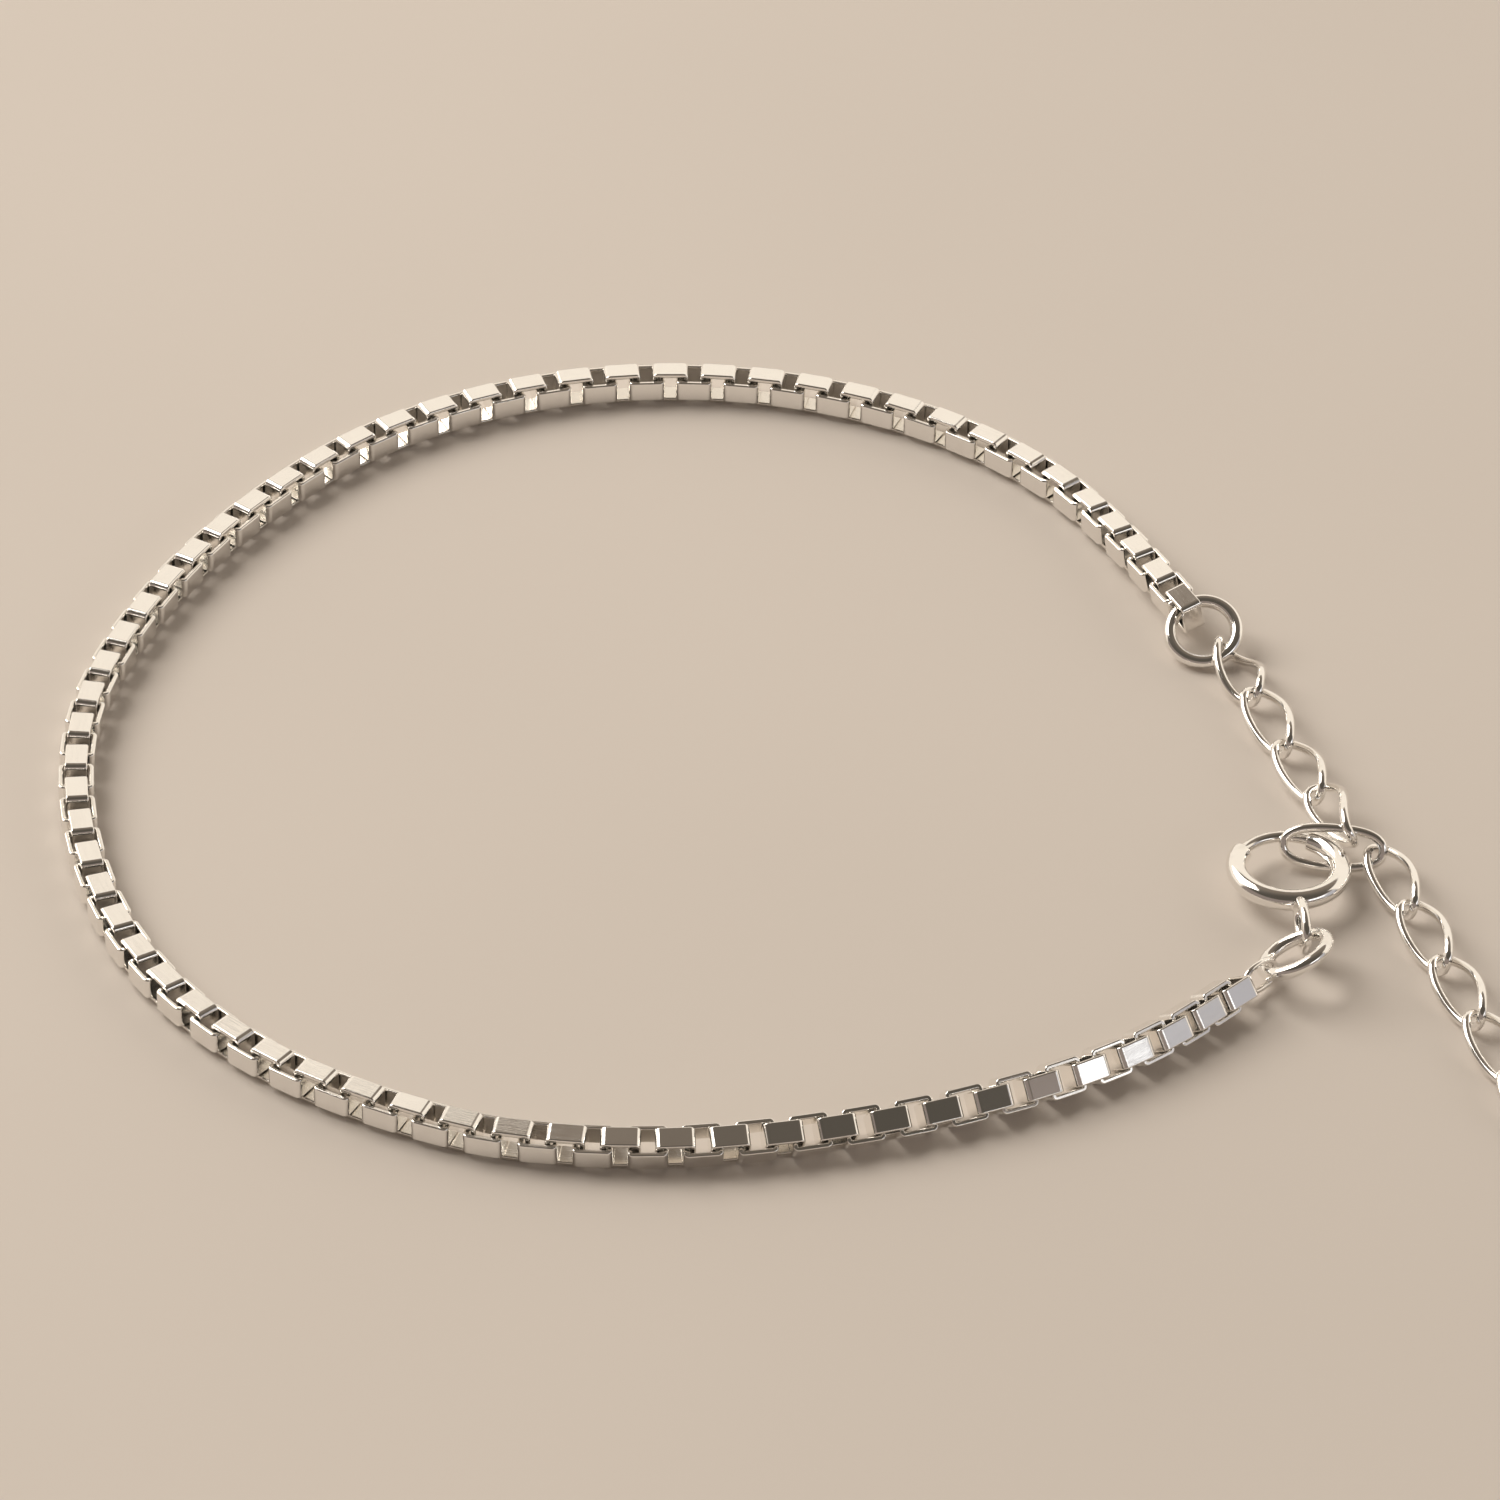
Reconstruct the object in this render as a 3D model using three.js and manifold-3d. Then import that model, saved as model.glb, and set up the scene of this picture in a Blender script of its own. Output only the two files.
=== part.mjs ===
// A silver box-chain bracelet lying fastened. The box chain makes the loop. A bolt ring on its one end
// is hooked into the extender chain on its other end, and the extender's tail runs on free.
// Millimetres, +Z up. The origin is on the surface that the bracelet lies on, under the middle of its box.
import * as THREE from 'three';
import { mergeVertices } from 'three/addons/utils/BufferGeometryUtils.js';
import Module from 'manifold-3d';

const wasm = await Module();
wasm.setup();

// ---------------------------------------------------------------- driving dimensions

const CHAIN = {
  width: 1.7,          // across the chain, from plate to plate
  strip: 1.08,         // width of the strip that each box link is bent from
  step: 5,             // length of one straight stretch of the solid
  endLean: 53,         // how far the chain leans outwards at its clasp end, in degrees
  leanHold: 8,         // length over which it keeps that lean
  leanLength: 33,      // length over which the lean then fades out
  ringLean: 12,        // how far ring A turns the chain's other end inwards, in degrees
  ringRise: 0.7,       // how far it lifts that end
  ringLength: 11,      // length over which that turn and lift fade out
};

// The chain's middle line as seen from above, from its clasp end round to its extender end.
const CHAIN_ROUTE = [
  [20.47, -17.86], [17.2, -20.93], [13.48, -23.47], [9.0, -25.63], [4.3, -27.32], [-0.57, -28.55],
  [-5.53, -29.18], [-10.47, -29.0], [-14.85, -28.07], [-23.36, -23.79], [-29.46, -17.34],
  [-32.95, -9.05], [-33.8, 0.4], [-31.4, 9.45], [-26.8, 17.65], [-20.35, 24.45],
  [-11.9, 28.55], [-2.6, 29.25], [6.3, 26.55], [13.6, 20.75], [19.15, 10.4],
];

const BOX_LINK = { length: 1.8, thickness: 0.24, bendRadius: 0.34, clearance: 0.3 };

// A small oval loop is soldered to the chain's end link by the clasp. Ring B passes through it.
const END_LOOP = {
  width: 1.5,
  wire: 0.3,
  squareness: 0.8,
  from: [21.13, -17.24, 1.0],    // middle of its wire at the link
  to: [22.57, -15.65, 0.87],     // and beyond ring B
  facing: [-0.695, 0.589, -0.3],
};

const JUMP_RING = { outer: 3.9, wire: 0.65 };

// The extender hangs from ring A and the bolt ring's tab from ring B.
const RING_A = { centre: [20.05, 9.15, 1.21], normal: [-0.08, -0.46, 0.87] };
const RING_B = { centre: [23.48, -15.5, 1.5], normal: [-0.455, 0.243, 0.857] };

// Angles run counter-clockwise round the ring from +X, in degrees.
const BOLT_RING = {
  outer: 5.9,
  tube: 1.0,
  bore: 0.62,
  centre: [23.45, -9.0, 1.3],
  frontRise: 2,        // the side with the tab lies a little higher
  mouth: [65, 150],    // open stretch of the tube
  bolt: 0.54,
  boltSpan: [20, 158], // the bolt reaches from inside one tube end into the other
  triggerAt: 50,
  triggerWidth: 0.3,
  triggerReach: 0.38,  // how far the trigger stands out of the tube
  triggerDrop: 0.1,    // how far below the tube's middle line it is
  travel: 48,          // how far the trigger draws the bolt back
  slotWidth: 0.4,
  slotEnd: 5,          // the slot runs this much past the trigger's two places
};

const TAB = { length: 3.2, height: 2.4, wire: 0.45, at: -84, sink: 0.15 };

const EXTENDER = { pitch: 4.15, width: 2.3, wire: 0.44, play: 0.1, lean: 30, twist: 45, squareness: 0.8 };

// Points where an extender link meets the next: the first is on ring A, the last on the held link.
const EXTENDER_KNOTS = [
  [21.05, 8.5, 0.8], [22.4, 4.55, 1.0], [23.73, 0.57, 1.0], [25.09, -3.39, 1.39], [26.35, -7.15, 1.94],
];

// The links next to ring A and to the held link turn further over to go round them.
const FIRST_LINK = { lean: 4, twist: 70 };
const LAST_LINK = { lean: 60, twist: 55 };

// The link that the bolt ring is hooked into stands over and under the ring's tube.
const HELD_LINK = { centre: [25.62, -7.35, 1.25], heading: -5, lean: 60 };

// The free tail, from the held link to its end.
const TAIL_KNOTS = [
  [27.76, -7.37, 1.08], [29.08, -11.33, 1.02], [30.4, -15.25, 0.97], [31.75, -19.15, 0.97],
  [33.1, -23.05, 0.97], [34.4, -26.95, 0.97],
];

const SIDES = { wire: 8, finest: 6, tube: 12, bend: 3 };
const RING_STEPS = 28;
const ARC_STEP = 9; // degrees

// ---------------------------------------------------------------- materials

const silver = new THREE.MeshStandardMaterial({ color: 0xe6e2db, metalness: 1, roughness: 0.16 });
const silverPlates = new THREE.MeshStandardMaterial({ color: 0xe2ded6, metalness: 1, roughness: 0.24 });

// ---------------------------------------------------------------- helpers

const UP = new THREE.Vector3(0, 0, 1);
const deg = THREE.MathUtils.degToRad;

function ovalOutline(radius, sides) {
  const shape = new THREE.Shape();
  for (let i = 0; i < sides; i += 1) {
    const angle = (2 * Math.PI * (i + 0.5)) / sides;
    const corner = [radius * Math.cos(angle), radius * Math.sin(angle)];
    if (i === 0) shape.moveTo(...corner);
    else shape.lineTo(...corner);
  }
  shape.closePath();
  return shape;
}

// A path whose section keeps its first side level, apart from a lean about the path.
class LevelPath extends THREE.Curve {
  constructor(pointAt, leanAt = () => 0) {
    super();
    this.pointAt = pointAt;
    this.leanAt = leanAt;
  }

  getPoint(t, target = new THREE.Vector3()) {
    return target.copy(this.pointAt(t));
  }

  frame(u) {
    const tangent = this.getTangentAt(u);
    const side = new THREE.Vector3().crossVectors(UP, tangent).normalize();
    const top = new THREE.Vector3().crossVectors(tangent, side);
    const lean = this.leanAt(u);
    side.applyAxisAngle(tangent, lean);
    top.applyAxisAngle(tangent, lean);
    return { tangent, side, top };
  }

  computeFrenetFrames(segments) {
    const frames = { tangents: [], normals: [], binormals: [] };
    for (let i = 0; i <= segments; i += 1) {
      const { tangent, side, top } = this.frame(i / segments);
      frames.tangents.push(tangent);
      frames.normals.push(side);
      frames.binormals.push(top);
    }
    return frames;
  }
}

function arcPath(radius, fromDeg, toDeg) {
  return new LevelPath((t) => {
    const angle = deg(THREE.MathUtils.lerp(fromDeg, toDeg, t));
    return new THREE.Vector3(radius * Math.cos(angle), radius * Math.sin(angle), 0);
  });
}

function sweep(shape, path, steps) {
  return new THREE.ExtrudeGeometry(shape, { steps, extrudePath: path, curveSegments: 1 });
}

// A closed wire ring or link round a closed centre line.
function wireLoop(pointAt, wire, steps, sides) {
  const centreLine = new LevelPath(pointAt);
  centreLine.computeFrenetFrames = THREE.Curve.prototype.computeFrenetFrames;
  return new THREE.TubeGeometry(centreLine, steps, wire / 2, sides, true);
}

function toSolid(geometry) {
  const bare = geometry.clone();
  bare.deleteAttribute('normal');
  bare.deleteAttribute('uv');
  const merged = mergeVertices(bare, 1e-4);
  return new wasm.Manifold(new wasm.Mesh({
    numProp: 3,
    vertProperties: new Float32Array(merged.attributes.position.array),
    triVerts: new Uint32Array(merged.index.array),
  }));
}

function toGeometry(solid) {
  const mesh = solid.getMesh();
  const geometry = new THREE.BufferGeometry();
  geometry.setAttribute('position', new THREE.BufferAttribute(mesh.vertProperties, 3));
  geometry.setIndex(new THREE.BufferAttribute(mesh.triVerts, 1));
  return geometry;
}

const bracelet = new THREE.Group();

function add(name, geometry, material = silver, parent = bracelet) {
  const mesh = new THREE.Mesh(geometry, material);
  mesh.name = name;
  parent.add(mesh);
  return mesh;
}

// Turns an object so that its x runs along `along` and its z is as near to `top` as that allows.
function orient(object, along, top = UP) {
  const x = along.clone().normalize();
  const y = new THREE.Vector3().crossVectors(top, x).normalize();
  const z = new THREE.Vector3().crossVectors(x, y);
  object.quaternion.setFromRotationMatrix(new THREE.Matrix4().makeBasis(x, y, z));
  return object;
}

// ---------------------------------------------------------------- box chain

const route = new THREE.CatmullRomCurve3(CHAIN_ROUTE.map(([x, y]) => new THREE.Vector3(x, y, 0)));
const chainLength = route.getLength();

// Falls smoothly from 1 at an end of the chain to 0 at `reach` along it.
function fade(distance, reach) {
  return 0.5 * (1 + Math.cos(Math.PI * Math.min(distance / reach, 1)));
}

function chainLean(u) {
  const pastHold = Math.max(u * chainLength - CHAIN.leanHold, 0);
  const claspLean = -deg(CHAIN.endLean) * fade(pastHold, CHAIN.leanLength);
  return claspLean + deg(CHAIN.ringLean) * fade((1 - u) * chainLength, CHAIN.ringLength);
}

// Height of the middle line when the chain's section leans and still rests on the surface.
function restHeight(lean) {
  const upright = Math.cos(lean);
  const across = Math.abs(Math.sin(lean));
  const onPlate = CHAIN.width * upright + CHAIN.strip * across;
  const onSide = CHAIN.width * across + CHAIN.strip * upright;
  return 0.5 * Math.max(onPlate, onSide);
}

const chainPath = new LevelPath((t) => {
  const point = route.getPointAt(t);
  point.z = restHeight(chainLean(t)) + CHAIN.ringRise * fade((1 - t) * chainLength, CHAIN.ringLength);
  return point;
}, chainLean);

// The stretch of the chain between two lengths along it.
function stretch(from, to) {
  const at = (t) => THREE.MathUtils.lerp(from, to, t) / chainLength;
  return new LevelPath((t) => chainPath.getPoint(at(t)), (u) => chainLean(at(u)));
}

function chainSection() {
  const half = CHAIN.width / 2;
  const flat = CHAIN.strip / 2;
  return new THREE.Shape([
    [half, flat], [flat, half], [-flat, half], [-half, flat],
    [-half, -flat], [-flat, -half], [flat, -half], [half, -flat],
  ].map(([x, y]) => new THREE.Vector2(x, y)));
}

// One link of the chain: a strip bent into a closed box, its length along x and the strip across y.
function boxLink() {
  const outline = (inset) => {
    const x = BOX_LINK.length / 2 - inset;
    const z = CHAIN.width / 2 - inset;
    const r = BOX_LINK.bendRadius - inset;
    const path = new THREE.Path();
    path.absarc(x - r, z - r, r, 0, Math.PI / 2);
    path.absarc(-x + r, z - r, r, Math.PI / 2, Math.PI);
    path.absarc(-x + r, -z + r, r, Math.PI, 1.5 * Math.PI);
    path.absarc(x - r, -z + r, r, 1.5 * Math.PI, 2 * Math.PI);
    return path.getPoints(SIDES.bend);
  };
  const shape = new THREE.Shape(outline(0));
  shape.holes.push(new THREE.Path(outline(BOX_LINK.thickness)));
  const geometry = new THREE.ExtrudeGeometry(shape, { depth: CHAIN.strip, bevelEnabled: false });
  geometry.translate(0, 0, -CHAIN.strip / 2);
  return geometry.rotateX(Math.PI / 2);
}

// The chain's end links are modelled, because each is held by a ring or a loop.
function addEndLink(name, u) {
  const { tangent, top } = chainPath.frame(u);
  const link = orient(add(name, boxLink(), silverPlates), tangent, top);
  link.position.copy(chainPath.getPoint(u));
  return link;
}

const endLink = BOX_LINK.length / 2 + BOX_LINK.clearance;
const chainBody = stretch(endLink, chainLength - endLink);
const chainSteps = Math.round(chainLength / CHAIN.step);
add('box_chain', sweep(chainSection(), chainBody, chainSteps), silverPlates);
addEndLink('chain_end_link_a', 1);
const claspEndLink = addEndLink('chain_end_link_b', 0);

// ---------------------------------------------------------------- rings and soldered loop

function addJumpRing(name, { centre, normal }) {
  const radius = (JUMP_RING.outer - JUMP_RING.wire) / 2;
  const geometry = new THREE.TorusGeometry(radius, JUMP_RING.wire / 2, SIDES.wire, RING_STEPS);
  const ring = add(name, geometry);
  ring.position.set(...centre);
  ring.quaternion.setFromUnitVectors(UP, new THREE.Vector3(...normal).normalize());
}

addJumpRing('jump_ring_a', RING_A);
addJumpRing('jump_ring_b', RING_B);

// A centre line of an oval link, twisted about its length so that its neighbours can thread it.
function ovalLine(length, width, squareness, twist = 0) {
  const bend = (value) => Math.sign(value) * Math.abs(value) ** squareness;
  return (t) => {
    const x = bend(Math.cos(2 * Math.PI * t));
    const y = bend(Math.sin(2 * Math.PI * t));
    const point = new THREE.Vector3((x * length) / 2, (y * width) / 2, 0);
    return point.applyAxisAngle(new THREE.Vector3(1, 0, 0), deg(twist) * x);
  };
}

function solderLoop(link) {
  const from = new THREE.Vector3(...END_LOOP.from);
  const to = new THREE.Vector3(...END_LOOP.to);
  const line = ovalLine(from.distanceTo(to), END_LOOP.width - END_LOOP.wire, END_LOOP.squareness);
  const loop = new THREE.Mesh(wireLoop(line, END_LOOP.wire, RING_STEPS, SIDES.finest));
  orient(loop, to.clone().sub(from), new THREE.Vector3(...END_LOOP.facing));
  loop.position.copy(from.lerp(to, 0.5));
  loop.updateMatrix();
  link.updateMatrix();
  const intoLink = link.matrix.clone().invert().multiply(loop.matrix);
  loop.geometry.applyMatrix4(intoLink);
  link.geometry = toGeometry(toSolid(link.geometry).add(toSolid(loop.geometry)));
}

solderLoop(claspEndLink);

// ---------------------------------------------------------------- bolt ring

const ringRadius = (BOLT_RING.outer - BOLT_RING.tube) / 2;
const ringSteps = (fromDeg, toDeg) => Math.round(Math.abs(toDeg - fromDeg) / ARC_STEP);

function ringSweep(shape, fromDeg, toDeg) {
  return sweep(shape, arcPath(ringRadius, fromDeg, toDeg), ringSteps(fromDeg, toDeg));
}

// A box section whose inner side is `from` outwards from the tube's middle line.
function outwardBar(from, to, height) {
  return new THREE.Shape([
    [-from, -height / 2], [-from, height / 2], [-to, height / 2], [-to, -height / 2],
  ].map(([x, y]) => new THREE.Vector2(x, y)));
}

function boltRingBody() {
  const [mouthFrom, mouthTo] = BOLT_RING.mouth;
  const section = ovalOutline(BOLT_RING.tube / 2, SIDES.tube);
  section.holes.push(ovalOutline(BOLT_RING.bore / 2, SIDES.tube));
  const tube = toSolid(ringSweep(section, mouthTo, mouthFrom + 360));
  const slotShape = outwardBar(0, BOLT_RING.tube, BOLT_RING.slotWidth);
  const slotFrom = BOLT_RING.triggerAt - BOLT_RING.travel - BOLT_RING.slotEnd;
  const slotTo = BOLT_RING.triggerAt + BOLT_RING.slotEnd;
  const slotCutter = ringSweep(slotShape, slotFrom, slotTo).translate(0, 0, -BOLT_RING.triggerDrop);
  const slot = toSolid(slotCutter);
  const tabLine = ovalLine(TAB.length - TAB.wire, TAB.height - TAB.wire, 1);
  const tab = wireLoop(tabLine, TAB.wire, RING_STEPS, SIDES.wire);
  tab.rotateX(Math.PI / 2);
  tab.translate((BOLT_RING.outer + TAB.length) / 2 - TAB.sink, 0, 0);
  tab.rotateZ(deg(TAB.at));
  return tube.subtract(slot).add(toSolid(tab));
}

function boltBody() {
  const rod = toSolid(ringSweep(ovalOutline(BOLT_RING.bolt / 2, SIDES.tube), ...BOLT_RING.boltSpan));
  const reach = BOLT_RING.tube / 2 + BOLT_RING.triggerReach;
  const trigger = new THREE.BoxGeometry(reach, BOLT_RING.triggerWidth, BOLT_RING.triggerWidth);
  trigger.translate(ringRadius + reach / 2, 0, -BOLT_RING.triggerDrop);
  trigger.rotateZ(deg(BOLT_RING.triggerAt));
  return rod.add(toSolid(trigger));
}

const clasp = new THREE.Group();
clasp.position.set(...BOLT_RING.centre);
clasp.rotation.x = -deg(BOLT_RING.frontRise);
bracelet.add(clasp);
add('bolt_ring', toGeometry(boltRingBody()), silver, clasp);
add('bolt', toGeometry(boltBody()), silver, clasp);

// ---------------------------------------------------------------- extender

let extenderCount = 0;

function addExtenderLink(centre, along, lean, twist) {
  const length = EXTENDER.pitch + EXTENDER.wire + EXTENDER.play;
  const line = ovalLine(length, EXTENDER.width - EXTENDER.wire, EXTENDER.squareness, twist);
  extenderCount += 1;
  const name = `extender_link_${String(extenderCount).padStart(2, '0')}`;
  const link = add(name, wireLoop(line, EXTENDER.wire, RING_STEPS, SIDES.finest));
  orient(link, along);
  link.rotateX(deg(lean));
  link.position.copy(centre);
}

function addExtenderRun(knots, first = EXTENDER, last = EXTENDER) {
  const points = knots.map((knot) => new THREE.Vector3(...knot));
  const turns = new Map([[1, first], [points.length - 1, last]]);
  for (let i = 1; i < points.length; i += 1) {
    const centre = points[i - 1].clone().lerp(points[i], 0.5);
    const along = points[i].clone().sub(points[i - 1]);
    const { lean, twist } = turns.get(i) ?? EXTENDER;
    addExtenderLink(centre, along, lean, twist);
  }
}

addExtenderRun(EXTENDER_KNOTS, FIRST_LINK, LAST_LINK);
addExtenderLink(
  new THREE.Vector3(...HELD_LINK.centre),
  new THREE.Vector3(Math.cos(deg(HELD_LINK.heading)), Math.sin(deg(HELD_LINK.heading)), 0),
  HELD_LINK.lean,
  0,
);
addExtenderRun(TAIL_KNOTS);

export default bracelet;
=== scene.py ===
import math
import random

import bpy
from bpy.props import (
    FloatProperty,
    FloatVectorProperty,
    IntProperty,
    PointerProperty,
)
from mathutils import Matrix, Vector


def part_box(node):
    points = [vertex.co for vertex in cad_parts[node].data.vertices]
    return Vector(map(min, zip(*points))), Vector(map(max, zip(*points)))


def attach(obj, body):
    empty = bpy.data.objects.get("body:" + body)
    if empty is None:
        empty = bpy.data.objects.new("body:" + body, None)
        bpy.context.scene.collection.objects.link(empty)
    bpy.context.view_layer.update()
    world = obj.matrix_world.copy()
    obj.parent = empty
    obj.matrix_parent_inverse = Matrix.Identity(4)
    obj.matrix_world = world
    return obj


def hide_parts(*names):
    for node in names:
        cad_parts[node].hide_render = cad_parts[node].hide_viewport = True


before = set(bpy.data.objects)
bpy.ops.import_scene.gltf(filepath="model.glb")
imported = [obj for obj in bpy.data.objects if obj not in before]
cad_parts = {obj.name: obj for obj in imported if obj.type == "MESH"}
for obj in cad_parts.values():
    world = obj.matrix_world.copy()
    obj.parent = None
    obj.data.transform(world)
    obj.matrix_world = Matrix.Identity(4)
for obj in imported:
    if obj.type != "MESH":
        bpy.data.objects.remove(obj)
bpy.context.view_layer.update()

bl_info = {
    "name": "Box-chain Bracelet",
    "version": (1, 0, 0),
    "blender": (4, 5, 0),
    "location": "View3D > Sidebar > Bracelet",
    "description": "Builds a fastened box-chain bracelet with its bolt ring and extender chain",
    "category": "Add Mesh",
}

UP = Vector((0.0, 0.0, 1.0))
MM = 0.001

# The chain's middle line from its clasp end round to its extender end, as seen from above.
CHAIN_ROUTE = [
    (0.02047, -0.01786), (0.0172, -0.02093), (0.01348, -0.02347), (0.0090, -0.02563), (0.0043, -0.02732),
    (-0.00057, -0.02855), (-0.00553, -0.02918), (-0.01047, -0.0290), (-0.01485, -0.02807),
    (-0.02336, -0.02379), (-0.02946, -0.01734), (-0.03295, -0.00905), (-0.0338, 0.0004), (-0.0314, 0.00945),
    (-0.0268, 0.01765), (-0.02035, 0.02445), (-0.0119, 0.02855), (-0.0026, 0.02925), (0.0063, 0.02655),
    (0.0136, 0.02075), (0.01915, 0.0104),
]

# Points where an extender link meets the next, from ring A to the link that the clasp holds.
EXTENDER_KNOTS = [
    (0.02105, 0.0085, 0.0008), (0.0224, 0.00455, 0.0010), (0.02373, 0.00057, 0.0010),
    (0.02509, -0.00339, 0.00139), (0.02635, -0.00715, 0.00194),
]
HELD_LINK = (0.02562, -0.00735, 0.00125)
TAIL_KNOTS = [
    (0.02776, -0.00737, 0.00108), (0.02908, -0.01133, 0.00102), (0.0304, -0.01525, 0.00097),
    (0.03175, -0.01915, 0.00097), (0.0331, -0.02305, 0.00097), (0.0344, -0.02695, 0.00097),
]

# Ends of the middle line of the small loop that is soldered to the chain's end link.
END_LOOP = [(0.02113, -0.01724, 0.0010), (0.02257, -0.01565, 0.00087)]

# Half sizes of the beads of solder: along, across and through the piece that each one holds.
LOOP_SOLDER = (0.00014, 0.00036, 0.00022)
TAB_SOLDER = (0.00016, 0.00036, 0.00036)

# The trigger from the tube's middle outwards: share of its reach, then share of its thickness there.
TRIGGER_SHAPE = [
    (0.0, 0.8), (0.5, 0.8), (0.62, 0.8), (0.76, 0.95), (0.88, 1.0), (0.95, 0.95), (0.985, 0.75), (1.0, 0.45),
]

# Soft edges of the studio's parts, each along one part of the direction from the bracelet: to the right,
# to the near side, or down.
CEILING_NEAR = (-0.72, 0.42)
WALL_NEAR = (-0.02, 0.06)
WALL_TOP_DOWN = (-0.69, -0.68)
NEAR_HALF = (0.02, 0.10)
NEAR_SIDE_DOWN = (-0.57, -0.50)
WINDOW_RIGHT = (0.50, 0.56)
WINDOW_TOP_DOWN = (-0.465, -0.445)
WINDOW_FOOT_DOWN = (-0.29, -0.24)
SKY_RIGHT = (0.80, 0.89)

CHANCE_SEED = 11


# ---------------------------------------------------------------- settings

def length(name, description, default):
    """A length in metres, shown in the scene's unit."""
    return FloatProperty(
        name=name, description=description, default=default, min=0.0, precision=5, unit="LENGTH",
    )


def angle(name, description, degrees):
    """An angle that is shown in degrees."""
    return FloatProperty(
        name=name, description=description, default=math.radians(degrees), subtype="ANGLE",
    )


def colour(name, description, default):
    """A colour, or the colour and strength of a light."""
    return FloatVectorProperty(
        name=name, description=description, default=default, size=3, min=0.0, max=1.0, subtype="COLOR",
    )


def direction(name, description, default):
    """A direction in the packed model's frame."""
    return FloatVectorProperty(
        name=name, description=description, default=default, size=3, subtype="DIRECTION",
    )


def position(name, description, default):
    """A place in the packed model's frame, in metres."""
    return FloatVectorProperty(
        name=name, description=description, default=default, size=3, precision=6,
        subtype="TRANSLATION", unit="LENGTH",
    )


def amount(name, description, default, high=1.0):
    """A plain number from 0 up to `high`."""
    return FloatProperty(
        name=name, description=description, default=default, min=0.0, max=high, precision=3,
    )


class BraceletChainSettings(bpy.types.PropertyGroup):
    """Sizes of the box chain."""

    width: length("Chain width", "Across the chain, from plate to plate", 0.0017)
    strip: length("Strip width", "Width of the strip that each link is bent from", 0.00108)
    thickness: length("Strip thickness", "Thickness of that strip", 0.00024)
    link_length: length("Link length", "Length of one box link", 0.00183)
    bend: length("Bend radius", "Radius outside each bend of a link", 0.00025)
    edge: length("Edge radius", "Rounding along the strip's edges", 0.00008)
    intervals: IntProperty(
        name="Steps from link to link", default=126, min=2, step=2,
        description="Steps along the chain, an even number, so that both end links stand alike",
    )
    bunching: amount("Bunching", "How much closer the links lie at the clasp end", 0.17)
    bunched_links: IntProperty(name="Bunched links", description="Links that lie closer", default=9, min=1)
    play: angle("Play", "How far a link may sit off its true place", 0.4)
    clasp_lean: angle("Lean at the clasp", "How far the chain leans outwards at its clasp end", 53)
    lean_hold: length("Lean hold", "Length over which it keeps that lean", 0.008)
    lean_length: length("Lean length", "Length over which the lean then fades out", 0.033)
    ring_lean: angle("Lean at ring A", "How far ring A turns the chain's other end inwards", 12)
    ring_rise: length("Rise at ring A", "How far ring A lifts that end", 0.0007)
    ring_length: length("Rise length", "Length over which that turn and rise fade out", 0.011)


class BraceletRingSettings(bpy.types.PropertyGroup):
    """Sizes of the jump rings, the soldered loop and the bolt ring."""

    jump_outer: length("Jump ring", "Outside size of a jump ring", 0.0039)
    jump_wire: length("Jump ring wire", "Thickness of its wire", 0.00065)
    ring_a_normal: direction("Ring A faces", "Direction that ring A faces", (-0.08, -0.46, 0.87))
    ring_b_normal: direction("Ring B faces", "Direction that ring B faces", (-0.455, 0.243, 0.857))
    loop_width: length("End loop width", "Across the small loop soldered to the chain's end link", 0.0015)
    loop_wire: length("End loop wire", "Thickness of its wire", 0.0003)
    loop_faces: direction("End loop faces", "Direction that the loop faces", (-0.695, 0.589, -0.3))
    outer: length("Bolt ring", "Outside size of the bolt ring", 0.0059)
    tube: length("Tube", "Thickness of its tube", 0.0010)
    bore: length("Bore", "Width of the tube's bore", 0.00062)
    centre: position("Bolt ring's middle", "Where the bolt ring's middle lies", (0.02345, -0.0090, 0.0013))
    front_rise: angle("Front rise", "How far the tab's side lies higher", 2)
    mouth_from: angle("Mouth from", "Where the open stretch of the tube starts", 65)
    mouth_to: angle("Mouth to", "Where it ends", 150)
    slot_from: angle("Slot from", "Where the trigger's slot starts", -3)
    slot_to: angle("Slot to", "Where it ends", 55)
    slot_width: length("Slot width", "Height of the slot", 0.0004)
    slot_drop: length("Slot drop", "How far the slot lies below the tube's middle", 0.0001)
    bolt: length("Bolt", "Thickness of the sliding bolt", 0.00054)
    bolt_from: angle("Bolt from", "Where the bolt starts inside the tube", 20)
    bolt_to: angle("Bolt to", "Where it ends inside the tube's other end", 158)
    trigger_at: angle("Trigger at", "Where the trigger stands out of the slot", 50)
    trigger_width: length("Trigger width", "Thickness of the trigger", 0.0003)
    trigger_reach: length("Trigger reach", "How far it stands out of the tube", 0.00038)
    tab_length: length("Tab length", "Outside length of the ring's tab", 0.0032)
    tab_height: length("Tab height", "Outside height of the tab", 0.0024)
    tab_wire: length("Tab wire", "Thickness of its wire", 0.00045)
    tab_sink: length("Tab sink", "How far the tab runs into the tube", 0.00015)
    tab_at: angle("Tab at", "Where on the ring the tab is", -84)


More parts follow.
